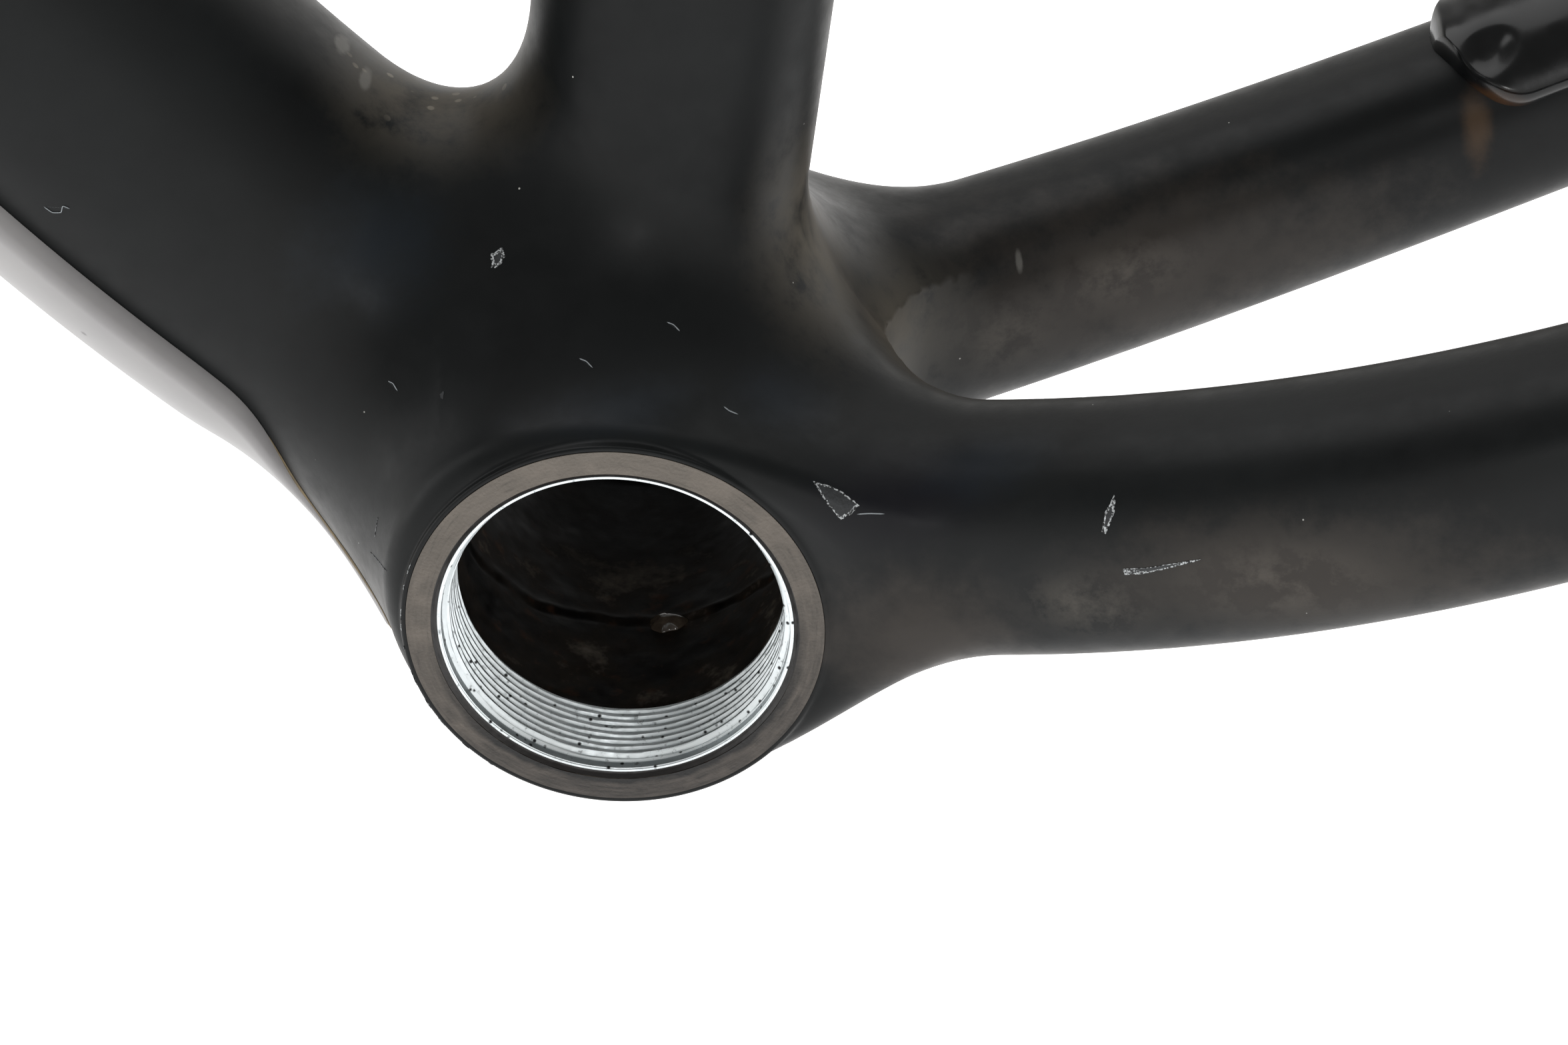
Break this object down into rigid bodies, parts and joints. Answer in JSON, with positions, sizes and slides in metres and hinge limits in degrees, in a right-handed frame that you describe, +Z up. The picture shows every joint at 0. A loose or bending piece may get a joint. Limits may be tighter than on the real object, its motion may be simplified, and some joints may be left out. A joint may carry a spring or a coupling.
{
  "type": "bicycle bottom bracket shell junction",
  "caption": "Moulded carbon frame junction: threaded shell for crank bearings with stubs of down tube, seat tube and chainstays, underside guard and stay protector.",
  "frame": {"origin": "middle of the shell's bore axis, half way between its two faced ends", "axes": "+Y along the bore towards the chain side, +X to the rear wheel, +Z up with the bicycle upright"},
  "size_m": [0.2072, 0.0976, 0.1131],
  "materials": {
    "painted_carbon": "matt clear over moulded carbon laminate, dusty, with small chips",
    "raw_carbon": "faced and unfinished carbon laminate",
    "insert_aluminium": "machined, bright thread",
    "epoxy": "black cured epoxy",
    "guard_plastic": "smooth grey moulded cover",
    "rubber": "smooth black moulded rubber, grimy at its edge",
    "adhesive": "yellowed adhesive tape",
    "resin": "glossy brown cured resin"
  },
  "bodies": {
    "root": {"bb_sleeve": "raw_carbon", "threaded_insert_left": "insert_aluminium", "threaded_insert_right": "insert_aluminium", "insert_bond_left": "epoxy", "insert_bond_right": "epoxy", "junction_moulding": "painted_carbon", "down_tube": "painted_carbon", "seat_tube": "painted_carbon", "chainstay_left": "painted_carbon", "chainstay_right": "painted_carbon", "down_tube_lap_sleeve": "raw_carbon", "seat_tube_lap_sleeve": "raw_carbon", "chainstay_left_lap_sleeve": "raw_carbon", "chainstay_right_lap_sleeve": "raw_carbon", "down_tube_guard": "guard_plastic", "down_tube_guard_tape": "adhesive", "chainstay_protector": "rubber", "chainstay_protector_tape": "adhesive", "resin_bead": "resin"}
  },
  "joints": []
}
